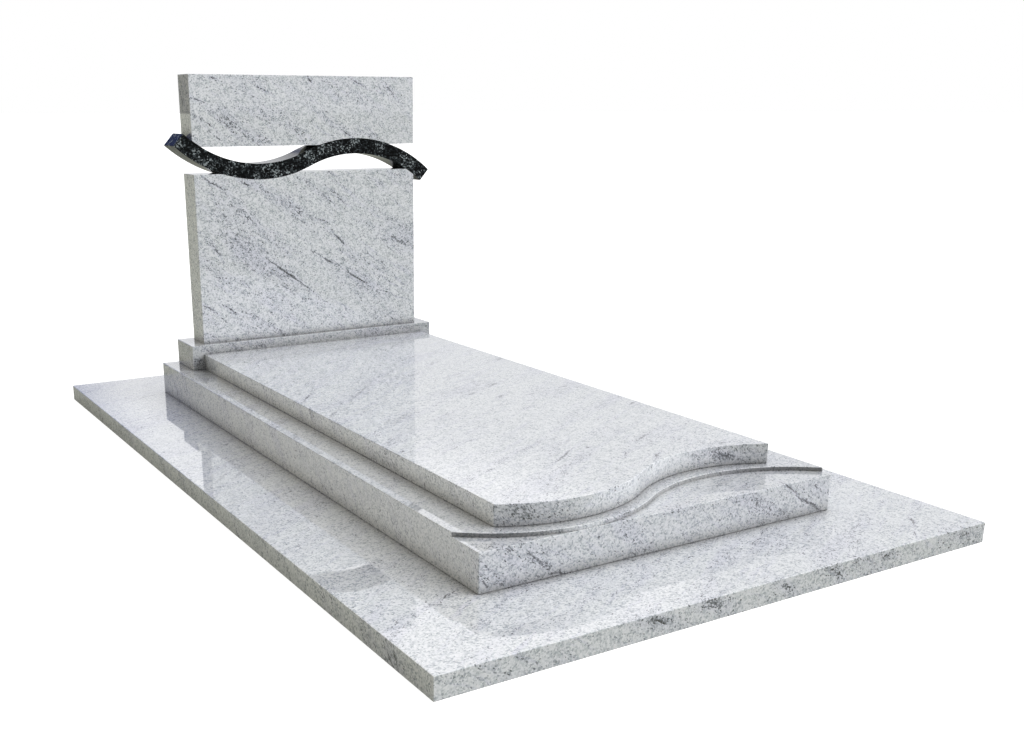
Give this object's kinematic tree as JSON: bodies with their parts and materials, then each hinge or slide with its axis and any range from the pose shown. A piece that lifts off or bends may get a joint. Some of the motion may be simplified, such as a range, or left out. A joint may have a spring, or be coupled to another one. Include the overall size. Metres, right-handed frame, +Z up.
{
  "type": "funerary monument",
  "caption": "Flat grave monument of polished white granite: base slab, kerb, ledger with a wave-cut foot, and an upright headstone split by a black granite wave band.",
  "frame": {"origin": "centre of the base slab's underside", "axes": "+Z up, +Y along the grave towards the headstone, +X to the right as seen from the foot end"},
  "size_m": [1.5, 2.5, 1.08],
  "materials": {
    "white_granite": "polished white granite with grey specks and violet-grey clouds",
    "black_granite": "polished black granite with pale flecks"
  },
  "bodies": {
    "root": {"base_slab": "white_granite", "kerb": "white_granite", "ledger": "white_granite", "headstone_plinth": "white_granite", "headstone_lower": "white_granite", "wave_band": "black_granite", "headstone_upper": "white_granite"}
  },
  "joints": []
}
